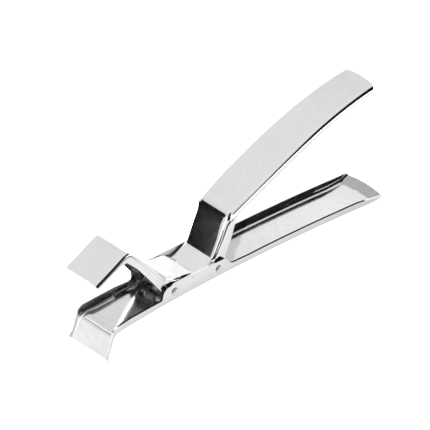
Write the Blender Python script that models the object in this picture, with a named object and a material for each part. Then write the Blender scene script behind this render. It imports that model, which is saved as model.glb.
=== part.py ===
"""Compound-lever gripper for hot plates and bowls: three sheet-steel pressings, two rivets, one spring.

A long channel-shaped lower handle carries two pairs of ears. A hooked jaw turns on the front rivet and
an arched lever turns on the rear rivet. The lever's front plate lies under the jaw's tail, so pressing
the lever down lifts the tail and brings the nose down in front of the lower jaw.

Run with: blender --background --python part.py
Side outlines are in millimetres, X rearward from the lower jaw's tip and Z up from the ground that the
part rests on. The finished part is in metres, centred in X and Y, with the ground at Z = 0.
"""
import math
from dataclasses import dataclass

import bmesh
import bpy
from mathutils import Vector

MM = 0.001
OVERALL_FRONT = -6.6            # X of the jaw's nose tip, the foremost point
OVERALL_REAR = 196.2            # X of the lower handle's rear rim, the rearmost point
CENTRE_X = (OVERALL_FRONT + OVERALL_REAR) / 2

SHEET = 1.1                     # thickness of all three pressings
GAP = 0.3                       # clearance between touching pieces
RUNNING_CLEARANCE = 0.1         # round each rivet shank
SMALLEST = 0.001                # points closer than this are one point
TRIM_ZONE = 12.0                # length at each end of a plate that follows the end's curve
JAW_PIVOT = (47.7, 18.0)
HANDLE_PIVOT = (78.6, 16.0)

EAR_HALF = 12.3                 # half the width over the lower handle's ears
INNER_EAR_HALF = EAR_HALF - SHEET - 0.5       # half the width over the ears between them
JAW_HALF = 11.8
HANDLE_END_HALF = 11.5
HANDLE_HALF = 12.3              # at the front of the grip; narrower at its free end
GRIP_STATIONS = [187.5 - 6.75 * i for i in range(11)]      # X of the sections of the arched grip

SHANK_RADIUS = 1.5
HOLE_RADIUS = SHANK_RADIUS + RUNNING_CLEARANCE
RIVET_HEAD_RADIUS = 2.2
RIVET_HEAD_HEIGHT = 0.9

WIRE_RADIUS = 0.6
COIL_RADIUS = 2.6
COIL_TURNS = 5
COIL_PITCH = 1.5
COIL_START_Y = 0.7              # nearest the middle, where the leg under the jaw leaves the coil
STEPS_PER_TURN = 14

# The lower handle's floor is an arc that falls towards the rear.
FLOOR_TOP_X, FLOOR_TOP_Z = 14.0, 11.85        # where the underside is level
FLOOR_ARC_RADIUS = 1235.0

TROUGH_DEPTH = 5.5              # height of the rear flanges over the underside
RIM_SAG = 1.4                   # how far the rear rim curves forward at its sides

STEEL = (0.62, 0.62, 0.63, 1.0)
WIRE_STEEL = (0.50, 0.50, 0.52, 1.0)


@dataclass
class Row:
    """One station of a pressing: a point on its plate, with the flange edge that belongs to it."""
    top: tuple                  # (x, z, fillet radius) on the plate's outer face
    edge: tuple = None          # (x, z, fillet radius) of the flange's free edge; None for no flange
    half: float = 12.0          # half width over the flanges at the plate
    edge_half: float = None     # half width over the flanges at their free edge
    crease: tuple = (0.35, 0.55)          # where the flange steps from one width to the other
    bend: float = 2.0           # outer radius of the bend between plate and flange
    samples: int = 4            # points along the fillets


def floor_z(x):
    return FLOOR_TOP_Z - (x - FLOOR_TOP_X) ** 2 / (2 * FLOOR_ARC_RADIUS)


def fillet(before, corner, after, count):
    """Points of the arc that rounds a corner; the corner itself, repeated, when its radius is zero."""
    here = Vector(corner[:2])
    if corner[2] <= 0:
        return [here.copy() for _ in range(count)]
    to_before = (Vector(before[:2]) - here).normalized()
    to_after = (Vector(after[:2]) - here).normalized()
    half_angle = to_before.angle(to_after) / 2
    centre = here + (to_before + to_after).normalized() * corner[2] / math.sin(half_angle)
    reach = corner[2] / math.tan(half_angle)
    first = here + to_before * reach - centre
    turn = first.angle_signed(here + to_after * reach - centre)
    points = []
    for i in range(count):
        angle = -turn * i / (count - 1)
        points.append(centre + Vector((first.x * math.cos(angle) - first.y * math.sin(angle),
                                       first.x * math.sin(angle) + first.y * math.cos(angle))))
    return points


def stations(rows, side):
    """Sampled rows: plate point, outward normal, flange edge, widths, crease and bend radius."""
    found = []
    for i, row in enumerate(rows):
        before, after = rows[max(i - 1, 0)], rows[min(i + 1, len(rows) - 1)]
        has_arc = row.top[2] > 0 or (row.edge is not None and row.edge[2] > 0)
        count = row.samples if has_arc and 0 < i < len(rows) - 1 else 1
        tops = fillet(before.top, row.top, after.top, count) if count > 1 else [Vector(row.top[:2])]
        if row.edge is None:
            edges = [None] * count
        elif count > 1:
            edges = fillet(before.edge or row.edge, row.edge, after.edge or row.edge, count) \
                if before.edge and after.edge else [Vector(row.edge[:2])] * count
        else:
            edges = [Vector(row.edge[:2])]
        for top, edge in zip(tops, edges):
            found.append([top, edge, row])
    tops = [item[0] for item in found]
    result = []
    for i, (top, edge, row) in enumerate(found):
        ahead = next((p for p in tops[i + 1:] if (p - top).length > SMALLEST), top)
        behind = next((p for p in tops[:i][::-1] if (p - top).length > SMALLEST), top)
        tangent = (ahead - behind).normalized()
        normal = Vector((-tangent.y, tangent.x)) * side
        result.append((top, normal, edge, row))
    return result


def path_point(line, distance):
    """Point and normal at a distance along the sampled plate line."""
    walked = 0.0
    for (a, na, *_), (b, nb, *_) in zip(line, line[1:]):
        step = (b - a).length
        if step > SMALLEST and (walked + step >= distance or b is line[-1][0]):
            part = (distance - walked) / step
            return a.lerp(b, part), na.lerp(nb, part).normalized()
        walked += step
    return line[-1][0], line[-1][1]


def trimmed(distance, total, y, start_trim, end_trim):
    """Distance along the plate at a side position y, where the plate's ends are cut to a curve."""
    if start_trim is not None and distance < TRIM_ZONE:
        cut = start_trim(abs(y))
        distance = cut + distance * (TRIM_ZONE - cut) / TRIM_ZONE
    if end_trim is not None and distance > total - TRIM_ZONE:
        kept = 1 - end_trim(abs(y)) / TRIM_ZONE
        distance = total - TRIM_ZONE + (distance - total + TRIM_ZONE) * kept
    return distance


def section(line, index, lengths, start_trim, end_trim, columns=8, arc_steps=3):
    """Outer and inner points across one station, from one flange edge to the other."""
    top, normal, edge, row = line[index]
    full_bend = math.pi / 2
    if edge is None:
        bend_angle = 0.0
    else:
        depth = (edge - top).dot(-normal)
        bend_angle = full_bend if depth >= row.bend else math.acos(max(0.0, 1 - depth / row.bend))

    def on_plate(y):
        return path_point(line, trimmed(lengths[index], lengths[-1], y, start_trim, end_trim))

    outer_side, inner_side = [], []
    flat = row.half - row.bend
    for j in range(arc_steps + 1):
        angle = bend_angle * j / arc_steps
        reach, inner_reach = row.bend * math.sin(angle), (row.bend - SHEET) * math.sin(angle)
        drop, inner_drop = row.bend * (1 - math.cos(angle)), row.bend - (row.bend - SHEET) * math.cos(angle)
        base, out = on_plate(flat + reach)
        outer_side.append((flat + reach, base - out * drop))
        inner_side.append((flat + inner_reach, base - out * inner_drop))
    if edge is not None and bend_angle == full_bend:
        start = outer_side[-1][1]
        edge_half = row.edge_half or row.half
        for part, half in ((row.crease[0], row.half), (row.crease[1], edge_half), (1.0, edge_half)):
            point = start.lerp(edge, part)
            outer_side.append((half, point))
            inner_side.append((half - SHEET, point))
    else:
        for _ in range(3):
            outer_side.append(outer_side[-1])
            inner_side.append(inner_side[-1])

    def mirrored(side_points, drop):
        left = [(-y, p) for y, p in reversed(side_points)]
        middle = []
        for k in range(1, columns):
            y = flat * (2 * k / columns - 1)
            base, out = on_plate(y)
            middle.append((y, base - out * drop))
        return left + middle + list(side_points)

    return mirrored(outer_side, 0.0), mirrored(inner_side, SHEET)


def pressing_mesh(name, rows, side, origin, start_trim=None, end_trim=None):
    """A closed sheet-metal channel lofted through the rows.

    side is +1 where the plate's outer face is on the left of the direction in which the rows run."""
    line = stations(rows, side)
    lengths = [0.0]
    for (a, *_), (b, *_) in zip(line, line[1:]):
        lengths.append(lengths[-1] + (b - a).length)
    mesh = bmesh.new()
    loops = []
    for i in range(len(line)):
        outer, inner = section(line, i, lengths, start_trim, end_trim)
        ring = outer + inner[::-1]
        loops.append([mesh.verts.new(((p.x - origin[0]) * MM, y * MM, (p.y - origin[1]) * MM))
                      for y, p in ring])
    size = len(loops[0])
    for a, b in zip(loops, loops[1:]):
        for k in range(size):
            mesh.faces.new((a[k], a[(k + 1) % size], b[(k + 1) % size], b[k]))
    for ring in (loops[0], loops[-1]):
        for k in range(size // 2 - 1):
            mesh.faces.new((ring[k], ring[k + 1], ring[size - 2 - k], ring[size - 1 - k]))
    bmesh.ops.remove_doubles(mesh, verts=mesh.verts, dist=0.00002)
    bmesh.ops.dissolve_degenerate(mesh, edges=mesh.edges, dist=0.00001)
    bmesh.ops.triangulate(mesh, faces=[f for f in mesh.faces if len(f.verts) > 3])
    bmesh.ops.recalc_face_normals(mesh, faces=mesh.faces)
    data = bpy.data.meshes.new(name)
    mesh.to_mesh(data)
    mesh.free()
    return data


def steel(name, colour, roughness):
    material = bpy.data.materials.new(name)
    material.use_nodes = True
    shader = material.node_tree.nodes["Principled BSDF"]
    shader.inputs["Base Color"].default_value = colour
    shader.inputs["Metallic"].default_value = 1.0
    shader.inputs["Roughness"].default_value = roughness
    return material


def world(point, y=0.0):
    """A side-outline point in the finished part's frame, in metres."""
    return Vector(((point[0] - CENTRE_X) * MM, y * MM, point[1] * MM))


def add_object(name, data, at, material):
    item = bpy.data.objects.new(name, data)
    item.location = at
    data.materials.append(material)
    data.shade_smooth()
    data.set_sharp_from_angle(angle=math.radians(35))
    bpy.context.scene.collection.objects.link(item)
    return item


def hole_cutter(name, point):
    """A wire-frame cylinder across the part that drills one pivot hole."""
    mesh = bmesh.new()
    bmesh.ops.create_cone(mesh, cap_ends=True, segments=24, radius1=HOLE_RADIUS * MM,
                          radius2=HOLE_RADIUS * MM, depth=4 * EAR_HALF * MM)
    data = bpy.data.meshes.new(name)
    mesh.to_mesh(data)
    mesh.free()
    cutter = bpy.data.objects.new(name, data)
    cutter.location = world(point)
    cutter.rotation_euler = (math.pi / 2, 0, 0)
    cutter.hide_render = True
    cutter.display_type = "WIRE"
    bpy.context.scene.collection.objects.link(cutter)
    return cutter


def drill(item, cutter):
    cut = item.modifiers.new("pivot_hole", "BOOLEAN")
    cut.object = cutter
    cut.operation = "DIFFERENCE"
    cut.solver = "EXACT"


def arched_trim(sag, half):
    """An end cut as a shallow arc: nothing at the middle, sag at the sides."""
    return lambda y: sag * (y / half) ** 2


def cornered_trim(y):
    """The grip's free end: a shallow arc with well rounded corners."""
    corner = max(0.0, y / HANDLE_END_HALF - 0.65) / 0.35
    return 1.6 * (y / HANDLE_END_HALF) ** 2 + 0.9 * corner ** 2


def rounded_trim(reach, half):
    """An end cut as half an ellipse."""
    return lambda y: reach * (1 - math.sqrt(max(0.0, 1 - (y / half) ** 2)))


# ---------------------------------------------------------------- lower handle and lower jaw

def base_rows():
    """Lower jaw, floor, pivot ears and rear trough; the plate's outer face is the underside."""
    ear, rear = EAR_HALF, 12.7
    rows = [
        Row((0.5, 0.0, 0), (-1.5, 0.8, 0), half=14.3, bend=2.4),
        Row((6.2, 12.2, 3.5), (4.0, 17.7, 5.0), half=13.4, bend=3.0, samples=7),
        Row((14.5, floor_z(14.5), 0), (15.9, 17.85, 0), half=13.0, bend=3.6),
        Row((28.0, floor_z(28.0), 0), (28.0, 17.5, 0), half=12.9, bend=3.6),
        Row((37.5, floor_z(37.5), 0), (38.6, 16.6, 1.0), half=12.4, bend=3.0, samples=3),
        Row((42.0, floor_z(42.0), 0), (40.2, 22.8, 4.6), half=ear, bend=3.0, samples=5),
        Row((49.0, floor_z(49.0), 0), (49.0, 22.8, 0), half=ear, bend=3.0),
        Row((61.0, floor_z(61.0), 0), (61.0, 22.0, 0), half=ear, bend=3.0),
        Row((73.0, floor_z(73.0), 0), (73.0, 21.3, 0), half=ear, bend=3.0),
        Row((83.0, floor_z(83.0), 0), (82.8, 20.6, 2.5), half=ear, bend=3.0, samples=4),
        Row((88.0, floor_z(88.0), 0), (87.2, 15.3, 4.0), half=12.45, bend=3.3, samples=4),
        Row((99.0, floor_z(99.0), 0), (99.0, 14.3, 0), half=rear, bend=3.6),
    ]
    for x in (112.0, 126.0, 140.0, 154.0, 168.0, 177.0):
        rows.append(Row((x, floor_z(x), 0), (x, floor_z(x) + TROUGH_DEPTH, 0), half=rear, bend=3.6))
    rows += [
        Row((189.5, -0.05, 8.0), (187.0, 4.7, 0), half=rear + 0.6, bend=3.6, samples=5),
        Row((OVERALL_REAR - 0.2, 1.6, 0), (194.3, 3.3, 0), half=rear + 1.5, bend=3.6),
    ]
    return rows


# ---------------------------------------------------------------- upper jaw

def jaw_rows():
    """Nose plate, ridge, rear plate with ears round the front rivet, and the rounded tail."""
    ear = INNER_EAR_HALF
    return [
        Row((OVERALL_FRONT, 49.0, 0), (-3.6, 46.5, 0), half=JAW_HALF, bend=1.7),
        Row((5.0, 54.1, 0), (5.5, 50.6, 0), half=JAW_HALF, bend=1.7),
        Row((16.1, 59.4, 5.0), (14.2, 53.5, 1.6), half=JAW_HALF, bend=1.7, samples=6),
        Row((24.0, 50.6, 0), (22.0, 45.3, 0), half=JAW_HALF, bend=1.7),
        Row((30.9, 43.0, 0), (29.0, 35.8, 0), half=JAW_HALF, bend=1.7),
        Row((36.6, 36.4, 0), (34.4, 28.4, 0), half=JAW_HALF, edge_half=11.5, bend=1.7),
        Row((40.0, 32.3, 0), (39.8, 20.8, 2.0), half=11.6, edge_half=ear, crease=(0.3, 0.45), bend=1.7,
            samples=3),
        Row((43.6, 27.7, 3.0), (45.0, 13.8, 4.2), half=ear, bend=1.7, samples=6),
        Row((49.0, 24.2, 8.0), (51.9, 13.8, 4.2), half=ear, bend=1.7, samples=5),
        Row((51.8, 23.7, 0), (52.5, 20.2, 0), half=ear, bend=1.7),
        Row((53.4, 23.4, 0), None, half=ear + 1.0, bend=1.7),
        Row((58.8, 22.5, 28.0), None, half=ear + 1.0, bend=1.7, samples=4),
        Row((65.2, 19.7, 0), None, half=ear + 1.0, bend=1.7),
    ]


# ---------------------------------------------------------------- upper handle

def grip_z(x):
    """Height of the grip's arch behind its straight front slope."""
    along = (x - 120.0) / 67.0
    return 58.0 + 67.0 * (0.383 * along - 0.118 * along ** 2 - 0.0313 * along ** 3)


def grip_row(x):
    """One station of the arched grip, which narrows and thins towards its free end."""
    lean = 4.0 * (grip_z(x + 1.0) - grip_z(x))
    thinning = min(1.0, max(0.0, (x - 140.0) / 30.0))
    edge_z = grip_z(x + lean) - 4.6 + thinning
    half = HANDLE_HALF - (HANDLE_HALF - HANDLE_END_HALF) * max(0.0, x - 135.0) / 55.0
    return Row((x, grip_z(x), 0), (x + lean, edge_z, 0), half=half, bend=2.6)


def handle_rows():
    """Front plate under the jaw's tail, ears round the rear rivet, riser and arched grip.

    Listed from the grip's free end forward, so that the rounded front comes last."""
    ear = INNER_EAR_HALF
    return [
        Row((190.9, 73.8, 0), (188.6, 70.3, 0), half=HANDLE_END_HALF, bend=2.6),
        *(grip_row(x) for x in GRIP_STATIONS),
        Row((104.0, 51.9, 0), (104.0, 47.3, 0), half=HANDLE_HALF, bend=2.6),
        Row((86.2, 45.0, 7.0), (92.1, 42.7, 5.0), half=12.1, bend=3.8, samples=7),
        Row((83.8, 39.2, 0), (90.4, 37.2, 0), half=11.3, bend=3.5),
        Row((80.6, 31.8, 0), (88.2, 29.3, 0), half=11.0, edge_half=10.9, bend=2.6, crease=(0.6, 0.8)),
        Row((78.1, 26.6, 0), (84.8, 21.8, 0), half=10.9, edge_half=ear, crease=(0.3, 0.5), bend=2.6),
        Row((75.9, 22.4, 2.0), (82.4, 12.35, 3.7), half=ear, bend=2.4, samples=6),
        Row((70.8, 20.3, 0), (74.8, 12.35, 3.7), half=ear, bend=2.4, samples=5),
        Row((67.8, 19.1, 0), (70.6, 17.9, 0), half=ear, bend=2.4),
        Row((65.6, 18.2, 0), None, half=ear + 1.4, bend=2.4),
        Row((60.0, 16.2, 0), None, half=ear + 1.2, bend=2.4),
        Row((52.2, 14.4, 0), None, half=ear + 0.6, bend=2.4),
    ]


# ---------------------------------------------------------------- rivets and spring

def rivet_mesh(name):
    """A shank along Y with a domed head on each side, turned from its outline."""
    head_start = EAR_HALF + GAP
    outline = [(0.0, head_start + RIVET_HEAD_HEIGHT)]
    for i in range(1, 5):
        angle = math.pi / 2 * i / 4
        outline.append((RIVET_HEAD_RADIUS * math.sin(angle),
                        head_start + RIVET_HEAD_HEIGHT * (0.2 + 0.8 * math.cos(angle))))
    outline += [(RIVET_HEAD_RADIUS, head_start), (SHANK_RADIUS, head_start)]
    outline += [(r, -y) for r, y in reversed(outline)]
    mesh = bmesh.new()
    points = [mesh.verts.new((r * MM, y * MM, 0)) for r, y in outline]
    edges = [mesh.edges.new(pair) for pair in zip(points, points[1:])]
    bmesh.ops.spin(mesh, geom=points + edges, axis=(0, 1, 0), cent=(0, 0, 0), angle=2 * math.pi,
                   steps=24, use_duplicate=False)
    bmesh.ops.remove_doubles(mesh, verts=mesh.verts, dist=0.00001)
    bmesh.ops.recalc_face_normals(mesh, faces=mesh.faces)
    data = bpy.data.meshes.new(name)
    mesh.to_mesh(data)
    mesh.free()
    return data


def spring_route():
    """Wire centre line: leg forward along the channel, coil round the front rivet, leg under the jaw."""
    px, pz = JAW_PIVOT
    floor_leg = [(27.5, 10.2, 14.4), (33.0, 10.2, 14.4), (39.5, 9.2, 14.3)]
    jaw_leg = [(43.3, 23.2), (35.0, 33.2)]
    start_angle, end_angle = math.radians(-100), math.radians(62)
    sweep = end_angle - start_angle + 2 * math.pi * (COIL_TURNS - 1)
    steps = round(sweep / (2 * math.pi) * STEPS_PER_TURN)
    points = [(x - px, y, z - pz) for x, y, z in floor_leg]
    for i in range(steps + 1):
        angle = start_angle + sweep * i / steps
        y = COIL_START_Y + COIL_PITCH * COIL_TURNS * (1 - i / steps)
        points.append((COIL_RADIUS * math.cos(angle), y, COIL_RADIUS * math.sin(angle)))
    points += [(x - px, COIL_START_Y, z - pz) for x, z in jaw_leg]
    return points


def spring_curve(name):
    curve = bpy.data.curves.new(name, "CURVE")
    curve.dimensions = "3D"
    curve.bevel_depth = WIRE_RADIUS * MM
    curve.bevel_resolution = 1
    curve.use_fill_caps = True
    points = spring_route()
    spline = curve.splines.new("POLY")
    spline.points.add(len(points) - 1)
    for target, (x, y, z) in zip(spline.points, points):
        target.co = (x * MM, y * MM, z * MM, 1)
    return curve


def build():
    for item in list(bpy.data.objects):
        bpy.data.objects.remove(item)
    polished = steel("polished_steel", STEEL, 0.12)
    wire = steel("spring_wire", WIRE_STEEL, 0.3)
    jaw_hole = hole_cutter("jaw_hole_cutter", JAW_PIVOT)
    handle_hole = hole_cutter("handle_hole_cutter", HANDLE_PIVOT)

    base_origin = (CENTRE_X, 0.0)
    base = add_object("base_arm", pressing_mesh("base_arm", base_rows(), -1, base_origin,
                                                end_trim=arched_trim(RIM_SAG, 12.7)),
                      world(base_origin), polished)
    drill(base, jaw_hole)
    drill(base, handle_hole)

    jaw = add_object("upper_jaw", pressing_mesh("upper_jaw", jaw_rows(), 1, JAW_PIVOT,
                                                end_trim=rounded_trim(9.0, 11.2)),
                     world(JAW_PIVOT), polished.copy())
    drill(jaw, jaw_hole)

    handle = add_object("upper_handle", pressing_mesh("upper_handle", handle_rows(), -1, HANDLE_PIVOT,
                                                      start_trim=cornered_trim,
                                                      end_trim=rounded_trim(9.0, 11.0)),
                        world(HANDLE_PIVOT), polished.copy())
    drill(handle, handle_hole)

    add_object("jaw_pivot_rivet", rivet_mesh("jaw_pivot_rivet"), world(JAW_PIVOT), polished.copy())
    add_object("handle_pivot_rivet", rivet_mesh("handle_pivot_rivet"), world(HANDLE_PIVOT),
               polished.copy())
    spring = bpy.data.objects.new("return_spring", spring_curve("return_spring"))
    spring.location = world(JAW_PIVOT)
    spring.data.materials.append(wire)
    bpy.context.scene.collection.objects.link(spring)


build()
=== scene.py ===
"""Looks of the hot-plate gripper: pressed sheets, rivets, spring, polished steel and a pale studio.

The sheets repeat the solid parts' side outlines at a finer resolution, with rounded sheet edges, and
ride on the same bodies. Outlines are in millimetres, X rearward from the foot of the lower jaw and Z
up from the ground. The studio is in metres.
"""
import math
from dataclasses import dataclass

import bmesh
import bpy
from mathutils import Matrix, Vector

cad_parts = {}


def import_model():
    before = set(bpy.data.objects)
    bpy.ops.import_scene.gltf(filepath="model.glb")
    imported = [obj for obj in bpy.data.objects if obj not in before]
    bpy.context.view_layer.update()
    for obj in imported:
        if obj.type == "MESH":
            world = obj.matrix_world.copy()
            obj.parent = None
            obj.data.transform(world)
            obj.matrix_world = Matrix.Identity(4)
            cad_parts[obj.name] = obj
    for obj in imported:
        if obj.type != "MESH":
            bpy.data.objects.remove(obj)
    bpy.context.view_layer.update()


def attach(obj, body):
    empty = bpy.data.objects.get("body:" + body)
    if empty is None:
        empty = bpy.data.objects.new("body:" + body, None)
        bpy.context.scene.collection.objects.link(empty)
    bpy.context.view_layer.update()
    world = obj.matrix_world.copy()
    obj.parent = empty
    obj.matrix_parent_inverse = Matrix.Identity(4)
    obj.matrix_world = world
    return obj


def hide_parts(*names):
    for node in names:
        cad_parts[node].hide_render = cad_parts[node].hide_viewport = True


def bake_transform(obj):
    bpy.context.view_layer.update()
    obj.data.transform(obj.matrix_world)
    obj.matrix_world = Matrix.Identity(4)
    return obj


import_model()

MM = 0.001
OVERALL_FRONT = -6.6
OVERALL_REAR = 196.2
CENTRE_X = (OVERALL_FRONT + OVERALL_REAR) / 2

SHEET = 1.1
GAP = 0.3                       # the solid rivets' gap to the ears, which sets how far the heads stand out
SMALLEST = 0.001                # two points closer than this are one
TRIM_ZONE = 12.0                # stretch of a plate over which a curved end is blended in
JAW_PIVOT = (47.7, 18.0)
HANDLE_PIVOT = (78.6, 16.0)

EAR_HALF = 12.3
INNER_EAR_HALF = EAR_HALF - SHEET - 0.5
JAW_HALF = 11.8
HANDLE_END_HALF = 11.5
HANDLE_HALF = 12.3
GRIP_STATIONS = [187.5 - 2.25 * i for i in range(31)]      # X of the sections of the arched grip
ARCH_START_X, ARCH_START_Z = 120.0, 58.0
ARCH_LENGTH = 67.0
ARCH_SHAPE = (0.383, -0.118, -0.0313)                      # powers 1 to 3 of the way along the arch
GRIP_DEPTH = 4.6                # from the grip's top down to its flange edge
GRIP_EDGE_LEAN = 4.0            # how far rearward of the top the edge lies, for each unit of slope
THINNING_START_X, THINNING_LENGTH = 140.0, 30.0
NARROWING_START_X, NARROWING_LENGTH = 135.0, 55.0
FREE_END_SAG = 1.6
FREE_CORNER_START = 0.65        # share of the half width where the grip's corners begin to round
FREE_CORNER_CUT = 0.9

SHANK_RADIUS = 1.5
RIVET_HEAD_RADIUS = 2.2
RIVET_HEAD_HEIGHT = 0.9
HEAD_CLEARANCE = 0.05           # between an ear and the rivet head outside it
HEAD_RIM_HEIGHT = 0.22
DOME_FOOT = 0.35                # from the head's underside to the foot of its dome
DOME_INSET = 0.12
DOME_STEPS = 10
RIVET_SIDES = 48

WIRE_RADIUS = 0.6
COIL_RADIUS = 2.6
COIL_TURNS = 5
COIL_PITCH = 1.5
COIL_START_Y = 0.7
STEPS_PER_TURN = 40

FLOOR_TOP_X, FLOOR_TOP_Z = 14.0, 11.85
FLOOR_ARC_RADIUS = 1235.0
TROUGH_DEPTH = 5.5
TROUGH_HALF = 12.7
TROUGH_STATIONS = (112.0, 126.0, 140.0, 154.0, 168.0, 177.0)
RIM_SAG = 1.4

COLUMNS = 28                    # facets across a plate
ARC_STEPS = 8                   # facets round a bend
FLANGE_POINTS = 3               # points down a flange, below its bend
SAMPLE_FACTOR = 4               # facets of a fillet for each one that its row asks for
EDGE_ROUNDING = 0.22

BLACK = (0.010, 0.010, 0.011)
GREY = (0.17, 0.17, 0.17)
WHITE = (1.0, 1.0, 1.0)
BOUNCE = 1.15                   # strength of a white card
STAGE_REACH = 6.0               # half the width of the floor
CARD_HEIGHT = 0.0004            # a card that lies on the floor
SKY_STRENGTH = 1.35

CAMERA_ELEVATION = 37.3
CAMERA_AZIMUTH = 44.1
CAMERA_SLOPE = 0.00668          # turn of the view about Y, as rise over run
CAMERA_DISTANCE = 6.0
CAMERA_ANCHOR = (-CENTRE_X * MM, -0.0139, 0.0006)          # near corner of the lower jaw
CAMERA_ASIDE, CAMERA_ABOVE = 0.05325, 0.073                # from that corner to the picture's middle


# ---------------------------------------------------------------- sheet-metal lofting

@dataclass
class Row:
    """One station of a pressing: a point on its plate, with the flange edge that belongs to it.

    top and edge are X, Z and the radius of the rounding there, and crease says how far down the
    flange its width changes from half to edge_half.
    """
    top: tuple
    edge: tuple = None
    half: float = 12.0
    edge_half: float = None
    crease: tuple = (0.35, 0.55)
    bend: float = 2.0
    samples: int = 4


def floor_z(x):
    """Height of the lower handle's underside, one long arc."""
    return FLOOR_TOP_Z - (x - FLOOR_TOP_X) ** 2 / (2 * FLOOR_ARC_RADIUS)


def fillet(before, corner, after, count):
    """Points of the arc that rounds a corner; the corner itself, repeated, when its radius is zero."""
    here = Vector(corner[:2])
    if corner[2] <= 0:
        return [here.copy() for _ in range(count)]
    to_before = (Vector(before[:2]) - here).normalized()
    to_after = (Vector(after[:2]) - here).normalized()
    half_angle = to_before.angle(to_after) / 2
    centre = here + (to_before + to_after).normalized() * corner[2] / math.sin(half_angle)
    reach = corner[2] / math.tan(half_angle)
    first = here + to_before * reach - centre
    turn = first.angle_signed(here + to_after * reach - centre)
    points = []
    for i in range(count):
        angle = -turn * i / (count - 1)
        points.append(centre + Vector((first.x * math.cos(angle) - first.y * math.sin(angle),
                                       first.x * math.sin(angle) + first.y * math.cos(angle))))
    return points


def stations(rows, side):
    """Sampled rows: plate point, outward normal, flange edge and the row they come from."""
    found = []
    for i, row in enumerate(rows):
        before, after = rows[max(i - 1, 0)], rows[min(i + 1, len(rows) - 1)]
        has_arc = row.top[2] > 0 or (row.edge is not None and row.edge[2] > 0)
        count = (row.samples - 1) * SAMPLE_FACTOR + 1 if has_arc and 0 < i < len(rows) - 1 else 1
        tops = fillet(before.top, row.top, after.top, count) if count > 1 else [Vector(row.top[:2])]
        if row.edge is None:
            edges = [None] * count
        elif count > 1:
            edges = fillet(before.edge or row.edge, row.edge, after.edge or row.edge, count) \
                if before.edge and after.edge else [Vector(row.edge[:2])] * count
        else:
            edges = [Vector(row.edge[:2])]
        for top, edge in zip(tops, edges):
            found.append([top, edge, row])
    tops = [item[0] for item in found]
    result = []
    for i, (top, edge, row) in enumerate(found):
        ahead = next((p for p in tops[i + 1:] if (p - top).length > SMALLEST), top)
        behind = next((p for p in tops[:i][::-1] if (p - top).length > SMALLEST), top)
        tangent = ((ahead - top).normalized() + (top - behind).normalized()).normalized()
        normal = Vector((-tangent.y, tangent.x)) * side
        result.append((top, normal, edge, row))
    return result


def path_point(line, distance):
    """Point and normal at a distance along the sampled plate line."""
    walked = 0.0
    for (a, na, *_), (b, nb, *_) in zip(line, line[1:]):
        step = (b - a).length
        if step > SMALLEST and (walked + step >= distance or b is line[-1][0]):
            part = (distance - walked) / step
            return a.lerp(b, part), na.lerp(nb, part).normalized()
        walked += step
    return line[-1][0], line[-1][1]


def trimmed(distance, total, y, start_trim, end_trim):
    """Distance along the plate at a side position y, where the plate's ends are cut to a curve."""
    if start_trim is not None and distance < TRIM_ZONE:
        cut = start_trim(abs(y))
        distance = cut + distance * (TRIM_ZONE - cut) / TRIM_ZONE
    if end_trim is not None and distance > total - TRIM_ZONE:
        kept = 1 - end_trim(abs(y)) / TRIM_ZONE
        distance = total - TRIM_ZONE + (distance - total + TRIM_ZONE) * kept
    return distance


def section(line, index, lengths, start_trim, end_trim):
    """Outer and inner points across one station, from one flange edge to the other."""
    top, normal, edge, row = line[index]
    full_bend = math.pi / 2
    if edge is None:
        bend_angle = 0.0
    else:
        depth = (edge - top).dot(-normal)
        bend_angle = full_bend if depth >= row.bend else math.acos(max(0.0, 1 - depth / row.bend))

    def on_plate(y):
        return path_point(line, trimmed(lengths[index], lengths[-1], y, start_trim, end_trim))

    outer_side, inner_side = [], []
    flat = row.half - row.bend
    for j in range(ARC_STEPS + 1):
        angle = bend_angle * j / ARC_STEPS
        reach, inner_reach = row.bend * math.sin(angle), (row.bend - SHEET) * math.sin(angle)
        drop, inner_drop = row.bend * (1 - math.cos(angle)), row.bend - (row.bend - SHEET) * math.cos(angle)
        base, out = on_plate(flat + reach)
        outer_side.append((flat + reach, base - out * drop))
        inner_side.append((flat + inner_reach, base - out * inner_drop))
    if edge is not None and bend_angle == full_bend:
        start, inner_start = outer_side[-1][1], inner_side[-1][1]
        edge_half = row.edge_half or row.half
        for part, half in ((row.crease[0], row.half), (row.crease[1], edge_half), (1.0, edge_half)):
            outer_side.append((half, start.lerp(edge, part)))
            inner_side.append((half - SHEET, inner_start.lerp(edge, part)))
    else:
        for _ in range(FLANGE_POINTS):
            outer_side.append(outer_side[-1])
            inner_side.append(inner_side[-1])

    def mirrored(side_points, drop):
        left = [(-y, p) for y, p in reversed(side_points)]
        middle = []
        for k in range(1, COLUMNS):
            y = flat * math.sin(full_bend * (2 * k / COLUMNS - 1))
            base, out = on_plate(y)
            middle.append((y, base - out * drop))
        return left + middle + list(side_points)

    return mirrored(outer_side, 0.0), mirrored(inner_side, SHEET)


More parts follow.
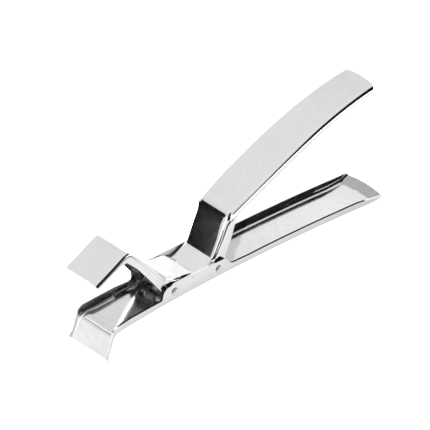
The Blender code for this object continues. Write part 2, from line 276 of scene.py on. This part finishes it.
def sheet_mesh(name, rows, side, start_trim=None, end_trim=None):
    """A closed channel lofted through the rows; faces of the inner side take the second material."""
    line = stations(rows, side)
    lengths = [0.0]
    for (a, *_), (b, *_) in zip(line, line[1:]):
        lengths.append(lengths[-1] + (b - a).length)
    mesh = bmesh.new()
    loops = []
    for i in range(len(line)):
        outer, inner = section(line, i, lengths, start_trim, end_trim)
        loops.append([mesh.verts.new(world(p, y)) for y, p in outer + inner[::-1]])
    size = len(loops[0])
    for a, b in zip(loops, loops[1:]):
        for k in range(size):
            face = mesh.faces.new((a[k], a[(k + 1) % size], b[(k + 1) % size], b[k]))
            face.material_index = int(size // 2 <= k < size - 1)
    for ring in (loops[0], loops[-1]):
        for k in range(size // 2 - 1):
            mesh.faces.new((ring[k], ring[k + 1], ring[size - 2 - k], ring[size - 1 - k]))
    bmesh.ops.remove_doubles(mesh, verts=mesh.verts, dist=0.00002)
    bmesh.ops.dissolve_degenerate(mesh, edges=mesh.edges, dist=0.00001)
    bmesh.ops.recalc_face_normals(mesh, faces=mesh.faces)
    data = bpy.data.meshes.new(name)
    mesh.to_mesh(data)
    mesh.free()
    return data


def world(point, y=0.0):
    """A side-outline point in the row frame, in metres."""
    return Vector(((point[0] - CENTRE_X) * MM, y * MM, point[1] * MM))


def arched_trim(sag, half):
    """An end cut to a shallow bow."""
    return lambda y: sag * (y / half) ** 2


def cornered_trim(y):
    """The grip's free end: a shallow bow with rounded corners."""
    corner = max(0.0, y / HANDLE_END_HALF - FREE_CORNER_START) / (1 - FREE_CORNER_START)
    return FREE_END_SAG * (y / HANDLE_END_HALF) ** 2 + FREE_CORNER_CUT * corner ** 2


def rounded_trim(reach, half):
    """An end cut to half an ellipse."""
    return lambda y: reach * (1 - math.sqrt(max(0.0, 1 - (y / half) ** 2)))


def base_rows():
    """Lower jaw, floor, pivot ears and rear trough; the plate's outer face is the underside."""
    ear, rear = EAR_HALF, TROUGH_HALF
    rows = [
        Row((0.5, 0.0, 0), (-1.5, 0.8, 0), half=14.3, bend=2.4),
        Row((6.2, 12.2, 3.5), (4.0, 17.7, 5.0), half=13.4, bend=3.0, samples=7),
        Row((14.5, floor_z(14.5), 0), (15.9, 17.85, 0), half=13.0, bend=3.6),
        Row((28.0, floor_z(28.0), 0), (28.0, 17.5, 0), half=12.9, bend=3.6),
        Row((37.5, floor_z(37.5), 0), (38.6, 16.6, 1.0), half=12.4, bend=3.0, samples=3),
        Row((42.0, floor_z(42.0), 0), (40.2, 22.8, 4.6), half=ear, bend=3.0, samples=5),
        Row((49.0, floor_z(49.0), 0), (49.0, 22.8, 0), half=ear, bend=3.0),
        Row((61.0, floor_z(61.0), 0), (61.0, 22.0, 0), half=ear, bend=3.0),
        Row((73.0, floor_z(73.0), 0), (73.0, 21.3, 0), half=ear, bend=3.0),
        Row((83.0, floor_z(83.0), 0), (82.8, 20.6, 2.5), half=ear, bend=3.0, samples=4),
        Row((88.0, floor_z(88.0), 0), (87.2, 15.3, 4.0), half=12.45, bend=3.3, samples=4),
        Row((99.0, floor_z(99.0), 0), (99.0, 14.3, 0), half=rear, bend=3.6),
    ]
    for x in TROUGH_STATIONS:
        rows.append(Row((x, floor_z(x), 0), (x, floor_z(x) + TROUGH_DEPTH, 0), half=rear, bend=3.6))
    rows += [
        Row((189.5, -0.05, 8.0), (187.0, 4.7, 0), half=rear + 0.6, bend=3.6, samples=5),
        Row((OVERALL_REAR - 0.2, 1.6, 0), (194.3, 3.3, 0), half=rear + 1.5, bend=3.6),
    ]
    return rows


def jaw_rows():
    """Nose plate, ridge, rear plate with ears round the front rivet, and the rounded tail."""
    ear = INNER_EAR_HALF
    return [
        Row((OVERALL_FRONT, 49.0, 0), (-3.6, 46.5, 0), half=JAW_HALF, bend=1.7),
        Row((5.0, 54.1, 0), (5.5, 50.6, 0), half=JAW_HALF, bend=1.7),
        Row((16.1, 59.4, 5.0), (14.2, 53.5, 1.6), half=JAW_HALF, bend=1.7, samples=6),
        Row((24.0, 50.6, 0), (22.0, 45.3, 0), half=JAW_HALF, bend=1.7),
        Row((30.9, 43.0, 0), (29.0, 35.8, 0), half=JAW_HALF, bend=1.7),
        Row((36.6, 36.4, 0), (34.4, 28.4, 0), half=JAW_HALF, edge_half=11.5, bend=1.7),
        Row((40.0, 32.3, 0), (39.8, 20.8, 2.0), half=11.6, edge_half=ear, crease=(0.3, 0.45), bend=1.7,
            samples=3),
        Row((43.6, 27.7, 3.0), (45.0, 13.8, 4.2), half=ear, bend=1.7, samples=6),
        Row((49.0, 24.2, 8.0), (51.9, 13.8, 4.2), half=ear, bend=1.7, samples=5),
        Row((51.8, 23.7, 0), (52.5, 20.2, 0), half=ear, bend=1.7),
        Row((53.4, 23.4, 0), None, half=ear + 1.0, bend=1.7),
        Row((58.8, 22.5, 28.0), None, half=ear + 1.0, bend=1.7, samples=4),
        Row((65.2, 19.7, 0), None, half=ear + 1.0, bend=1.7),
    ]


def grip_z(x):
    """Height of the grip's arch behind its straight front slope."""
    along = (x - ARCH_START_X) / ARCH_LENGTH
    rise = sum(factor * along ** (power + 1) for power, factor in enumerate(ARCH_SHAPE))
    return ARCH_START_Z + ARCH_LENGTH * rise


def grip_row(x):
    """One station of the arched grip, which narrows and thins towards its free end."""
    lean = GRIP_EDGE_LEAN * (grip_z(x + 1.0) - grip_z(x))
    thinning = min(1.0, max(0.0, (x - THINNING_START_X) / THINNING_LENGTH))
    edge_z = grip_z(x + lean) - GRIP_DEPTH + thinning
    narrowing = max(0.0, x - NARROWING_START_X) / NARROWING_LENGTH
    half = HANDLE_HALF - (HANDLE_HALF - HANDLE_END_HALF) * narrowing
    return Row((x, grip_z(x), 0), (x + lean, edge_z, 0), half=half, bend=2.6)


def handle_rows():
    """Arched grip, riser, ears round the rear rivet, and the front plate under the jaw's tail."""
    ear = INNER_EAR_HALF
    return [
        Row((190.9, 73.8, 0), (188.6, 70.3, 0), half=HANDLE_END_HALF, bend=2.6),
        *(grip_row(x) for x in GRIP_STATIONS),
        Row((104.0, 51.9, 0), (104.0, 47.3, 0), half=HANDLE_HALF, bend=2.6),
        Row((86.2, 45.0, 7.0), (92.1, 42.7, 5.0), half=12.1, bend=3.8, samples=7),
        Row((83.8, 39.2, 0), (90.4, 37.2, 0), half=11.3, bend=3.5),
        Row((80.6, 31.8, 0), (88.2, 29.3, 0), half=11.0, edge_half=10.9, bend=2.6, crease=(0.6, 0.8)),
        Row((78.1, 26.6, 0), (84.8, 21.8, 0), half=10.9, edge_half=ear, crease=(0.3, 0.5), bend=2.6),
        Row((75.9, 22.4, 2.0), (82.4, 12.35, 3.7), half=ear, bend=2.4, samples=6),
        Row((70.8, 20.3, 0), (74.8, 12.35, 3.7), half=ear, bend=2.4, samples=5),
        Row((67.8, 19.1, 0), (70.6, 17.9, 0), half=ear, bend=2.4),
        Row((65.6, 18.2, 0), None, half=ear + 1.4, bend=2.4),
        Row((60.0, 16.2, 0), None, half=ear + 1.2, bend=2.4),
        Row((52.2, 14.4, 0), None, half=ear + 0.6, bend=2.4),
    ]


# ---------------------------------------------------------------- node helpers and materials

class Nodes:
    """Short calls for building one node tree."""

    def __init__(self, tree):
        self.tree = tree

    def put(self, node, name, value):
        """Links a socket to an input, or sets the input to a plain value."""
        if isinstance(value, bpy.types.NodeSocket):
            self.tree.links.new(value, node.inputs[name])
        else:
            node.inputs[name].default_value = value

    def math(self, operation, a, b=0.0):
        node = self.tree.nodes.new("ShaderNodeMath")
        node.operation = operation
        for i, value in enumerate((a, b)):
            self.put(node, i, value)
        return node.outputs[0]

    def split(self, vector):
        """The X, Y and Z sockets of a vector."""
        node = self.tree.nodes.new("ShaderNodeSeparateXYZ")
        self.put(node, "Vector", vector)
        return node.outputs

    def remap(self, value, low, high, to_low, to_high):
        node = self.tree.nodes.new("ShaderNodeMapRange")
        self.put(node, "Value", value)
        for name, number in (("From Min", low), ("From Max", high), ("To Min", to_low), ("To Max", to_high)):
            node.inputs[name].default_value = number
        return node.outputs["Result"]

    def noise(self, coordinates, scale, stretch=(1, 1, 1), detail=3.0, roughness=0.55):
        mapping = self.tree.nodes.new("ShaderNodeMapping")
        mapping.inputs["Scale"].default_value = stretch
        self.put(mapping, "Vector", coordinates)
        node = self.tree.nodes.new("ShaderNodeTexNoise")
        node.inputs["Scale"].default_value = scale
        node.inputs["Detail"].default_value = detail
        node.inputs["Roughness"].default_value = roughness
        self.put(node, "Vector", mapping.outputs[0])
        return node.outputs["Fac"]

    def ramp(self, value, stops):
        node = self.tree.nodes.new("ShaderNodeValToRGB")
        self.put(node, "Fac", value)
        ramp = node.color_ramp
        while len(ramp.elements) > len(stops):
            ramp.elements.remove(ramp.elements[-1])
        while len(ramp.elements) < len(stops):
            ramp.elements.new(0.5)
        for element, (position, colour) in zip(ramp.elements, stops):
            element.position = position
            element.color = (*colour, 1.0)
        return node.outputs["Color"]


def steel(name, tone, rough, streak, mottle=0.0, tint=(1.0, 0.995, 0.985), painted_shade_bands=()):
    """Rolled stainless steel: streaks and fine scratches along X and a cloudy polish, mottled if asked.

    Each painted shade band is painted shade, a band darkened by an amount: where it starts and ends
    along X, in metres, how it leans with Y, how soft its sides are, and the amount.
    """
    material = bpy.data.materials.new(name)
    material.use_nodes = True
    tree = material.node_tree
    n = Nodes(tree)
    shader = tree.nodes["Principled BSDF"]
    shader.inputs["Metallic"].default_value = 1.0
    surface = tree.nodes.new("ShaderNodeTexCoord").outputs["Object"]
    streaks = n.noise(surface, 90.0, stretch=(0.35, 14, 14), detail=5, roughness=0.65)
    fine = n.noise(surface, 900.0, stretch=(0.12, 6, 6), detail=3)
    clouds = n.noise(surface, 55.0, detail=3)
    blotches = n.noise(surface, 320.0, detail=4, roughness=0.7)
    shade = n.math("ADD", n.math("MULTIPLY", streaks, 0.5), n.math("MULTIPLY", clouds, 0.5))
    if mottle > 0:
        mixed = n.remap(blotches, 0.3, 0.7, -mottle, mottle)
        shade = n.math("ADD", shade, mixed)
    dark = tuple(tone * 0.94 * t for t in tint)
    light = tuple(min(1.0, tone * 1.05 * t) for t in tint)
    colour = n.ramp(shade, [(0.30, dark), (0.70, light)])
    # painted shade: each band scales the colour down by its amount
    for x0, x1, lean, soft, amount in painted_shade_bands:
        at = n.split(surface)
        along = n.math("ADD", at["X"], n.math("MULTIPLY", at["Y"], lean))
        along = n.math("ADD", along, n.remap(clouds, 0.3, 0.7, -0.002, 0.002))
        inside = n.math("MULTIPLY", n.remap(along, x0 - soft, x0 + soft, 0.0, 1.0),
                        n.remap(along, x1 - soft, x1 + soft, 1.0, 0.0))
        fade = tree.nodes.new("ShaderNodeVectorMath")
        fade.operation = "SCALE"
        tree.links.new(colour, fade.inputs[0])
        tree.links.new(n.math("SUBTRACT", 1.0, n.math("MULTIPLY", inside, amount)), fade.inputs["Scale"])
        colour = fade.outputs[0]
    n.put(shader, "Base Color", colour)
    gloss = n.math("ADD", n.math("MULTIPLY", clouds, 0.6), n.math("MULTIPLY", streaks, 0.4))
    n.put(shader, "Roughness", n.remap(gloss, 0.35, 0.65, rough[0], rough[1]))
    height = n.math("ADD", n.math("MULTIPLY", streaks, 0.4), n.math("MULTIPLY", fine, 0.6))
    if mottle > 0:
        height = n.math("ADD", height, n.math("MULTIPLY", blotches, 0.8))
    bump = tree.nodes.new("ShaderNodeBump")
    bump.inputs["Strength"].default_value = streak
    bump.inputs["Distance"].default_value = 0.00002
    n.put(bump, "Height", height)
    n.put(shader, "Normal", bump.outputs["Normal"])
    return material


# ---------------------------------------------------------------- pieces

def place(name, data, materials, body, nodes, rounding=0.0):
    """Links a piece, gives it its materials, rounds its edges if asked, puts it on its body and hides the
    nodes it stands for.
    """
    item = bpy.data.objects.new(name, data)
    for material in materials:
        data.materials.append(material)
    bpy.context.scene.collection.objects.link(item)
    data.shade_smooth()
    data.set_sharp_from_angle(angle=math.radians(40))
    if rounding > 0:
        bevel = item.modifiers.new("rounded_edges", "BEVEL")
        bevel.width = rounding * MM
        bevel.segments = 3
        bevel.limit_method = "ANGLE"
        bevel.angle_limit = math.radians(50)
        bevel.harden_normals = True
        bevel.use_clamp_overlap = True
    if body is not None:
        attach(item, body)
    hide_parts(*nodes)
    return item


def rivet_mesh(name):
    """A shank along Y with low domed heads, each with a small turned rim."""
    head_start = EAR_HALF + HEAD_CLEARANCE
    top = EAR_HALF + GAP + RIVET_HEAD_HEIGHT
    dome = top - head_start - DOME_FOOT
    outline = [(0.0, top)]
    for i in range(1, DOME_STEPS + 1):
        angle = math.pi / 2 * i / DOME_STEPS
        outline.append(((RIVET_HEAD_RADIUS - DOME_INSET) * math.sin(angle),
                        head_start + DOME_FOOT + dome * math.cos(angle)))
    outline += [(RIVET_HEAD_RADIUS, head_start + HEAD_RIM_HEIGHT), (RIVET_HEAD_RADIUS, head_start),
                (SHANK_RADIUS, head_start)]
    outline += [(r, -y) for r, y in reversed(outline)]
    mesh = bmesh.new()
    points = [mesh.verts.new((r * MM, y * MM, 0)) for r, y in outline]
    edges = [mesh.edges.new(pair) for pair in zip(points, points[1:])]
    bmesh.ops.spin(mesh, geom=points + edges, axis=(0, 1, 0), cent=(0, 0, 0), angle=2 * math.pi,
                   steps=RIVET_SIDES, use_duplicate=False)
    bmesh.ops.remove_doubles(mesh, verts=mesh.verts, dist=0.00001)
    bmesh.ops.recalc_face_normals(mesh, faces=mesh.faces)
    data = bpy.data.meshes.new(name)
    mesh.to_mesh(data)
    mesh.free()
    return data


def spring_route():
    """Wire centre line: leg forward along the channel, coil round the front rivet, leg under the jaw."""
    px, pz = JAW_PIVOT
    floor_leg = [(27.5, 10.2, 14.4), (33.0, 10.2, 14.4), (39.5, 9.2, 14.3)]
    jaw_leg = [(43.3, 23.2), (35.0, 33.2)]
    start_angle, end_angle = math.radians(-100), math.radians(62)
    sweep = end_angle - start_angle + 2 * math.pi * (COIL_TURNS - 1)
    steps = round(sweep / (2 * math.pi) * STEPS_PER_TURN)
    points = [Vector(p) for p in floor_leg]
    for i in range(steps + 1):
        angle = start_angle + sweep * i / steps
        y = COIL_START_Y + COIL_PITCH * COIL_TURNS * (1 - i / steps)
        points.append(Vector((px + COIL_RADIUS * math.cos(angle), y, pz + COIL_RADIUS * math.sin(angle))))
    points += [Vector((x, COIL_START_Y, z)) for x, z in jaw_leg]
    return points


def spring_mesh(name):
    """A round wire swept along the spring's route, with flat cut ends."""
    curve = bpy.data.curves.new(name, "CURVE")
    curve.dimensions = "3D"
    curve.bevel_depth = WIRE_RADIUS * MM
    curve.bevel_resolution = 4
    curve.use_fill_caps = True
    route = spring_route()
    spline = curve.splines.new("POLY")
    spline.points.add(len(route) - 1)
    for target, p in zip(spline.points, route):
        target.co = (*world((p.x, p.z), p.y), 1)
    holder = bpy.data.objects.new(name, curve)
    bpy.context.scene.collection.objects.link(holder)
    bpy.context.view_layer.update()
    data = bpy.data.meshes.new_from_object(holder.evaluated_get(bpy.context.evaluated_depsgraph_get()))
    bpy.data.objects.remove(holder)
    data.name = name
    return data


def build_sheets():
    """The three pressings, satin on the inside of each channel."""
    polished = steel("polished_steel", tone=0.80, rough=(0.09, 0.15), streak=0.15)
    # painted shade in the inner steel: a darker band at the rear trough's lip and a darker patch by the
    # ears; they reach every inner face within their band
    satin = steel("satin_inside_steel", tone=0.73, rough=(0.11, 0.19), streak=0.45, mottle=0.14,
                  tint=(1.0, 0.99, 0.98), painted_shade_bands=((0.0935, 0.12, 0.0, 0.0006, 0.36),
                                                  (-0.030, 0.0085, -1.46, 0.0015, 0.26)))
    lever_steel = steel("lever_polished_steel", tone=0.81, rough=(0.09, 0.15), streak=0.15)

    place("lower_handle_sheet",
          sheet_mesh("lower_handle_sheet", base_rows(), -1,
                     end_trim=arched_trim(RIM_SAG, TROUGH_HALF)),
          (polished, satin), "lower_handle", ["base_arm"], EDGE_ROUNDING)
    place("upper_jaw_sheet",
          sheet_mesh("upper_jaw_sheet", jaw_rows(), 1, end_trim=rounded_trim(9.0, 11.2)),
          (polished, satin), "jaw", ["upper_jaw"], EDGE_ROUNDING)
    place("lever_sheet",
          sheet_mesh("lever_sheet", handle_rows(), -1, start_trim=cornered_trim,
                     end_trim=rounded_trim(9.0, 11.0)),
          (lever_steel, satin), "lever", ["upper_handle"], EDGE_ROUNDING)


def build_rivets():
    rivet_steel = steel("rivet_steel", tone=0.74, rough=(0.15, 0.24), streak=0.2)
    for name, pivot, node in (("front_rivet", JAW_PIVOT, "jaw_pivot_rivet"),
                              ("rear_rivet", HANDLE_PIVOT, "handle_pivot_rivet")):
        data = rivet_mesh(name)
        data.transform(Matrix.Translation(world(pivot)))
        place(name, data, (rivet_steel,), "lower_handle", [node])


def build_spring():
    """The spring wire, its transform baked in; it is put on no body and stays where it is built."""
    wire_steel = steel("spring_wire_steel", tone=0.45, rough=(0.20, 0.30), streak=0.3)
    spring = place("spring_wire", spring_mesh("spring_wire"), (wire_steel,), None, ["return_spring"])
    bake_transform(spring)


# ---------------------------------------------------------------- studio

def flat_card(name, corners, colour, strength, one_sided=False):
    """A flat card that only shows in reflections, from its front alone when it is one-sided."""
    data = bpy.data.meshes.new(name)
    data.from_pydata([Vector(c) for c in corners], [], [tuple(range(len(corners)))])
    material = bpy.data.materials.new(name)
    material.use_nodes = True
    tree = material.node_tree
    tree.nodes.clear()
    output = tree.nodes.new("ShaderNodeOutputMaterial")
    glow = tree.nodes.new("ShaderNodeEmission")
    glow.inputs["Color"].default_value = (*colour, 1)
    glow.inputs["Strength"].default_value = strength
    if one_sided:
        choice = tree.nodes.new("ShaderNodeMixShader")
        tree.links.new(tree.nodes.new("ShaderNodeNewGeometry").outputs["Backfacing"], choice.inputs["Fac"])
        tree.links.new(glow.outputs[0], choice.inputs[1])
        tree.links.new(tree.nodes.new("ShaderNodeBsdfTransparent").outputs[0], choice.inputs[2])
        tree.links.new(choice.outputs[0], output.inputs["Surface"])
    else:
        tree.links.new(glow.outputs[0], output.inputs["Surface"])
    data.materials.append(material)
    card = bpy.data.objects.new(name, data)
    bpy.context.scene.collection.objects.link(card)
    card.visible_camera = False
    card.visible_diffuse = False
    card.visible_shadow = False
    return card


def wall(name, a, b, z0, z1, colour, strength, drop=0.0, one_sided=False):
    """An upright card from a to b on the ground plan, between two heights; b's end is lower by the drop."""
    corners = [(*a, z0), (*b, z0 - drop), (*b, z1 - drop), (*a, z1)]
    return flat_card(name, corners, colour, strength, one_sided)


def floor_card(name, x0, x1, y0, y1, colour, strength):
    """A card that lies just above the floor."""
    outline = [(x0, y0), (x1, y0), (x1, y1), (x0, y1)]
    return flat_card(name, [(*corner, CARD_HEIGHT) for corner in outline], colour, strength)


def floor_glow():
    """The paper round the gripper as the steel mirrors it, with painted shade: darker close to the gripper's
    foot.
    """
    foot_length, foot_width, fade = 0.095, 0.012, 0.024
    card = floor_card("floor_glow", -0.40, 0.40, -0.60, 0.028, (1.0, 0.995, 0.995), 1.0)
    card.location.z = -0.0002
    tree = card.data.materials[0].node_tree
    n = Nodes(tree)
    at = n.split(tree.nodes.new("ShaderNodeTexCoord").outputs["Object"])
    beside = n.math("MAXIMUM", n.math("SUBTRACT", n.math("ABSOLUTE", at["X"]), foot_length), 0.0)
    before = n.math("MAXIMUM", n.math("SUBTRACT", n.math("ABSOLUTE", at["Y"]), foot_width), 0.0)
    squares = n.math("ADD", n.math("POWER", beside, 2.0), n.math("POWER", before, 2.0))
    # painted shade: the glow dims towards the gripper's foot
    n.put(tree.nodes["Emission"], "Strength", n.remap(n.math("SQRT", squares), 0.0, fade, 0.74, 1.06))


def sky():
    """Overcast light, bright at the horizon and greyer overhead, with three black zones.

    The steel mirrors the zones as dark bands: one on the near side, one at the far left and a low
    one at the near left. Each is set by azimuth and elevation, in degrees.
    """
    world_light = bpy.data.worlds.new("studio")
    world_light.use_nodes = True
    bpy.context.scene.world = world_light
    tree = world_light.node_tree
    n = Nodes(tree)
    at = n.split(tree.nodes.new("ShaderNodeTexCoord").outputs["Generated"])
    glow = n.ramp(at["Z"], [(0.30, WHITE), (0.454, (0.86, 0.855, 0.855)),
                            (0.602, (0.672, 0.665, 0.665)), (0.669, (0.626, 0.618, 0.620)),
                            (0.819, (0.684, 0.676, 0.678)), (0.96, (0.70, 0.70, 0.70))])
    azimuth = n.math("ARCTAN2", at["Y"], at["X"])
    elevation = n.math("ARCSINE", at["Z"])
    angle = math.radians

    def between(value, low, high, soft):
        rise = n.remap(value, angle(low - soft), angle(low + soft), 0.0, 1.0)
        return n.math("MULTIPLY", rise, n.remap(value, angle(high - soft), angle(high + soft), 1.0, 0.0))

    off_centre = n.math("ABSOLUTE", n.math("SUBTRACT", elevation, angle(31)))
    half_height = n.remap(azimuth, angle(-87), angle(-72), angle(1.5), angle(25))
    near_dark = n.remap(n.math("SUBTRACT", off_centre, half_height), angle(3), angle(-1), 0.0, 1.0)
    near_dark = n.math("MULTIPLY", near_dark, between(azimuth, -91, -15, 5))
    far_dark = n.math("MULTIPLY", between(azimuth, 120, 168, 4), between(elevation, -20, 34, 3))
    left_dark = n.math("MULTIPLY", between(azimuth, -124, -102, 3), between(elevation, -20, 8, 3))
    dark = n.math("MAXIMUM", n.math("MAXIMUM", near_dark, far_dark), left_dark)
    dark = n.math("MULTIPLY", dark, 0.993)
    background = tree.nodes["Background"]
    n.put(background, "Color", glow)
    n.put(background, "Strength", n.math("MULTIPLY", n.math("SUBTRACT", 1.0, dark), SKY_STRENGTH))


def paper_floor():
    """A wide sheet of white paper that glows a little."""
    data = bpy.data.meshes.new("floor")
    r = STAGE_REACH
    data.from_pydata([(-r, -r, 0), (r, -r, 0), (r, r, 0), (-r, r, 0)], [], [(0, 1, 2, 3)])
    paper = bpy.data.materials.new("white_paper")
    paper.use_nodes = True
    shader = paper.node_tree.nodes["Principled BSDF"]
    shader.inputs["Base Color"].default_value = (0.97, 0.97, 0.97, 1)
    shader.inputs["Roughness"].default_value = 0.9
    shader.inputs["Specular IOR Level"].default_value = 0.0
    shader.inputs["Emission Color"].default_value = (1, 1, 1, 1)
    shader.inputs["Emission Strength"].default_value = 0.6
    data.materials.append(paper)
    ground = bpy.data.objects.new("floor", data)
    ground.location.z = -0.0001
    bpy.context.scene.collection.objects.link(ground)


def reflection_cards():
    """Cards that only reflections see. Some stand inside the channels or close beside the steel."""
    floor_glow()
    floor_card("far_floor_flag", -STAGE_REACH, 0.05, 0.10, STAGE_REACH, BLACK, 1.0)
    floor_card("near_floor_flag", -0.06, 0.03, -0.125, -0.072, BLACK, 1.0)
    wall("jaw_bounce", (-0.160, 0.005), (-0.125, 0.060), 0.0, 0.024, WHITE, BOUNCE)
    wall("jaw_bounce_upper", (-0.160, 0.005), (-0.125, 0.060), 0.0268, 0.045, WHITE, BOUNCE)
    wall("trough_flag", (-0.008, -0.0091), (0.092, -0.0091), 0.010, 0.021, BLACK, 1.0, drop=0.0095)
    wall("front_trough_flag", (-0.083, -0.0092), (-0.052, -0.0092), 0.0135, 0.030, BLACK, 1.0)
    flat_card("under_jaw_flag", [(-0.0785, -0.0125, 0.0568), (-0.0785, 0.0125, 0.0568),
                                 (-0.0528, 0.0125, 0.0265), (-0.0528, -0.0125, 0.0265)], GREY, 1.0)
    wall("tongue_bounce", (-0.0225, 0.011), (-0.0225, -0.011), 0.0215, 0.034, WHITE, BOUNCE,
         one_sided=True)
    wall("front_rivet_flag", (-0.0610, -0.0170), (-0.0520, -0.0260), 0.0140, 0.0255, BLACK, 1.0)
    wall("rear_rivet_flag", (-0.0302, -0.0170), (-0.0212, -0.0260), 0.0130, 0.0235, BLACK, 1.0)
    wall("near_left_flag", (-0.17, -0.10), (-0.045, -0.10), 0.020, 0.30, BLACK, 1.0)
    wall("bend_bounce", (-0.130, 0.032), (-0.110, 0.048), 0.050, 0.074, WHITE, 1.3)


def overhead_softbox():
    """A wide soft lamp overhead, which the steel doesn't mirror."""
    lamp = bpy.data.lights.new("overhead_softbox", "AREA")
    lamp.size = 2.0
    lamp.energy = 200.0
    light = bpy.data.objects.new("overhead_softbox", lamp)
    light.location = (0.0, 0.0, 1.6)
    light.visible_glossy = False
    bpy.context.scene.collection.objects.link(light)


def camera():
    """A long lens at the front left, looking down on the near flank."""
    elevation, azimuth = math.radians(CAMERA_ELEVATION), math.radians(CAMERA_AZIMUTH)
    right = Vector((math.cos(azimuth), -math.sin(azimuth), 0))
    back = Vector((-math.sin(azimuth) * math.cos(elevation), -math.cos(azimuth) * math.cos(elevation),
                   math.sin(elevation)))
    turn = Matrix.Rotation(-math.atan(CAMERA_SLOPE), 3, "Y")
    right, back = turn @ right, turn @ back
    up = back.cross(right)
    aim = Vector(CAMERA_ANCHOR) + right * CAMERA_ASIDE + up * CAMERA_ABOVE
    data = bpy.data.cameras.new("camera")
    data.lens = 1000
    data.sensor_width = 36
    data.clip_end = 100
    item = bpy.data.objects.new("camera", data)
    bpy.context.scene.collection.objects.link(item)
    matrix = Matrix((right, up, back)).transposed().to_4x4()
    matrix.translation = aim + back * CAMERA_DISTANCE
    item.matrix_world = matrix
    bpy.context.scene.camera = item


build_sheets()
build_rivets()
build_spring()
paper_floor()
reflection_cards()
sky()
overhead_softbox()
camera()
bpy.context.scene.view_settings.view_transform = "Standard"
